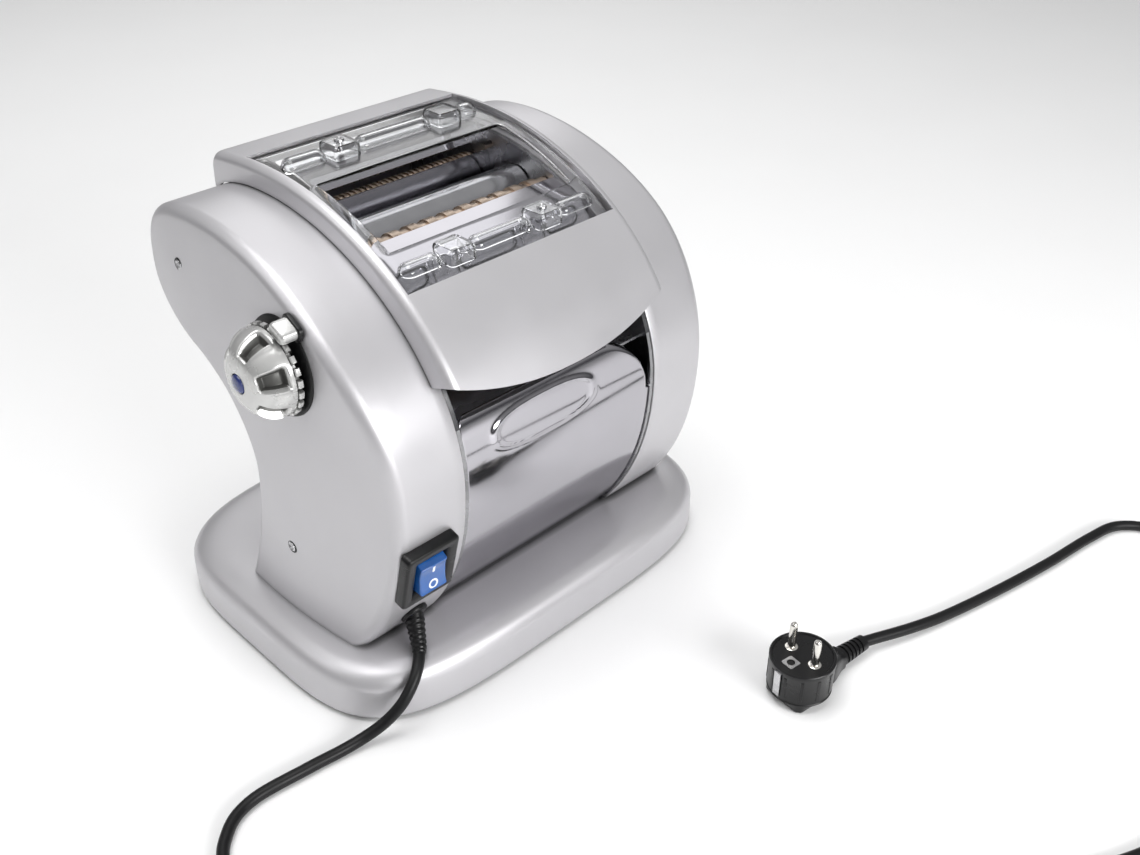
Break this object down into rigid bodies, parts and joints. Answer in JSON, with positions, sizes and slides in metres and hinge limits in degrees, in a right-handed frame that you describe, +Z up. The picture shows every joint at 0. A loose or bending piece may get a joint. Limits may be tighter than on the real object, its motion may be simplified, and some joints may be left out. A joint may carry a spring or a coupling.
{
  "type": "electric pasta machine",
  "caption": "Motor driven pasta machine: smooth rollers and two cutter pairs under a hooded head, thickness knob, rocker switch and mains cord with plug.",
  "frame": {"origin": "middle of the underside of the feet, under the centre of the base", "axes": "+X along the rollers towards the plain side, away from the knob; -Y is the front with the polished panel; +Z up"},
  "size_m": [0.6285, 0.5857, 0.2922],
  "materials": {
    "black_plastic": "black moulded plastic",
    "black_rubber": "black rubber",
    "blue_plastic": "translucent blue plastic",
    "bronze": "sintered bronze",
    "chrome_sheet": "polished chrome",
    "clear_plastic": "clear moulded plastic",
    "copper_iron": "laminated iron and copper",
    "cutter_steel": "hardened steel with a bronze tint",
    "dark_steel": "blackened steel",
    "frame_steel": "bright rolled steel",
    "gear_nylon": "natural nylon",
    "gear_steel": "cut steel",
    "hood_paint": "light silver satin paint",
    "housing_paint": "light silver satin paint",
    "ivory_plastic": "ivory plastic",
    "knob_silver": "silver metallised plastic",
    "motor_paint": "dark grey enamel",
    "nickel": "nickel plated brass",
    "roller_steel": "ground and polished steel",
    "screw_steel": "zinc plated steel"
  },
  "bodies": {
    "machine": {"base_cover": "housing_paint", "base_plate": "dark_steel", "rubber_feet": "black_rubber", "base_screws": "screw_steel", "left_side_plate": "frame_steel", "right_side_plate": "frame_steel", "left_housing": "housing_paint", "right_housing": "housing_paint", "housing_screws": "screw_steel", "front_panel": "chrome_sheet", "rear_panel": "housing_paint", "top_hood": "hood_paint", "feed_guard": "clear_plastic", "guard_screws": "screw_steel", "dough_guide": "chrome_sheet", "inner_covers": "chrome_sheet", "pasta_chute": "frame_steel", "stripper_plates": "frame_steel", "tie_rods": "frame_steel", "tie_rod_nuts": "screw_steel", "roller_bushes": "bronze", "cutter_bushes": "bronze", "motor_can": "motor_paint", "motor_mount": "frame_steel", "motor_screws": "screw_steel", "gear_studs": "frame_steel", "switch_frame": "black_plastic", "terminal_block": "ivory_plastic", "cord_gland": "black_plastic", "cord_clamp": "ivory_plastic", "index_block": "knob_silver", "knob_bush": "knob_silver", "power_cord": "black_rubber", "plug_body": "black_plastic", "plug_pins": "nickel", "plug_earth_clips": "nickel"},
    "knob_shaft": {"knob_shaft": "frame_steel", "cam_disc": "bronze", "knob_spring": "screw_steel"},
    "knob": {"knob_body": "knob_silver", "knob_cap": "blue_plastic"},
    "yoke": {"left_yoke": "frame_steel", "right_yoke": "frame_steel", "yoke_bar": "frame_steel", "cam_pin": "screw_steel"},
    "adjustable_roller": {"adjustable_roller": "roller_steel", "adjustable_roller_gear": "gear_steel"},
    "fixed_roller": {"fixed_roller": "roller_steel", "roller_drive_gear": "gear_steel", "cutter_drive_gear": "gear_steel"},
    "wide_cutter_front": {"wide_cutter_front": "cutter_steel"},
    "wide_cutter_rear": {"wide_cutter_rear": "cutter_steel"},
    "fine_cutter_front": {"fine_cutter_front": "cutter_steel"},
    "fine_cutter_rear": {"fine_cutter_rear": "cutter_steel"},
    "second_reduction_gear": {"second_reduction_gear": "gear_nylon"},
    "first_reduction_gear": {"first_reduction_gear": "gear_nylon"},
    "motor_rotor": {"motor_rotor": "copper_iron", "motor_pinion": "bronze"},
    "switch_rocker": {"switch_rocker": "blue_plastic"}
  },
  "joints": [
    {"name": "thickness_turn", "type": "hinge", "parent": "machine", "child": "knob_shaft", "pos_m": [0, -0.035, 0.214], "axis": [-1, 0, 0], "range_deg": [0, 240]},
    {"name": "knob_pull", "type": "slide", "parent": "knob_shaft", "child": "knob", "axis": [-1, 0, 0], "range_m": [0, 0.005], "stiffness_N_per_m": 400, "springref_m": -0.002, "deforming": ["knob_spring"]},
    {"name": "yoke_slide", "type": "slide", "parent": "machine", "child": "yoke", "axis": [0, -0.7413, -0.6712], "range_m": [0, 0.002]},
    {"name": "adjustable_roller_spin", "type": "hinge", "parent": "yoke", "child": "adjustable_roller", "pos_m": [0, -0.01761, 0.22053], "axis": [1, 0, 0], "continuous": true},
    {"name": "fixed_roller_spin", "type": "hinge", "parent": "machine", "child": "fixed_roller", "pos_m": [0, 0.005, 0.241], "axis": [1, 0, 0], "continuous": true},
    {"name": "wide_cutter_rear_spin", "type": "hinge", "parent": "machine", "child": "wide_cutter_rear", "pos_m": [0, -0.022, 0.247], "axis": [1, 0, 0], "continuous": true},
    {"name": "wide_cutter_front_spin", "type": "hinge", "parent": "machine", "child": "wide_cutter_front", "pos_m": [0, -0.03783, 0.23761], "axis": [1, 0, 0], "continuous": true},
    {"name": "fine_cutter_front_spin", "type": "hinge", "parent": "machine", "child": "fine_cutter_front", "pos_m": [0, 0.046, 0.244], "axis": [1, 0, 0], "continuous": true},
    {"name": "fine_cutter_rear_spin", "type": "hinge", "parent": "machine", "child": "fine_cutter_rear", "pos_m": [0, 0.06219, 0.23526], "axis": [1, 0, 0], "continuous": true},
    {"name": "second_gear_spin", "type": "hinge", "parent": "machine", "child": "second_reduction_gear", "pos_m": [0, 0.01354, 0.21814], "axis": [1, 0, 0], "continuous": true},
    {"name": "first_gear_spin", "type": "hinge", "parent": "machine", "child": "first_reduction_gear", "pos_m": [0, 0.00115, 0.18498], "axis": [1, 0, 0], "continuous": true},
    {"name": "motor_spin", "type": "hinge", "parent": "machine", "child": "motor_rotor", "pos_m": [0, -0.01745, 0.16018], "axis": [1, 0, 0], "continuous": true},
    {"name": "switch_rock", "type": "hinge", "parent": "machine", "child": "switch_rocker", "pos_m": [-0.104, -0.1061, 0.10451], "axis": [1, 0, 0], "range_deg": [0, 14]}
  ],
  "couplings": [
    {"joint": "thickness_turn", "follows": "yoke_slide", "rad_per_m": 2094.4},
    {"joint": "adjustable_roller_spin", "follows": "fixed_roller_spin", "ratio": -1},
    {"joint": "wide_cutter_rear_spin", "follows": "fixed_roller_spin", "ratio": -2},
    {"joint": "wide_cutter_front_spin", "follows": "fixed_roller_spin", "ratio": 2},
    {"joint": "fine_cutter_front_spin", "follows": "fixed_roller_spin", "ratio": -0.875},
    {"joint": "fine_cutter_rear_spin", "follows": "fixed_roller_spin", "ratio": 0.875},
    {"joint": "second_gear_spin", "follows": "fixed_roller_spin", "ratio": -1.6667},
    {"joint": "first_gear_spin", "follows": "fixed_roller_spin", "ratio": 5.3571},
    {"joint": "motor_spin", "follows": "fixed_roller_spin", "ratio": -22.321}
  ]
}
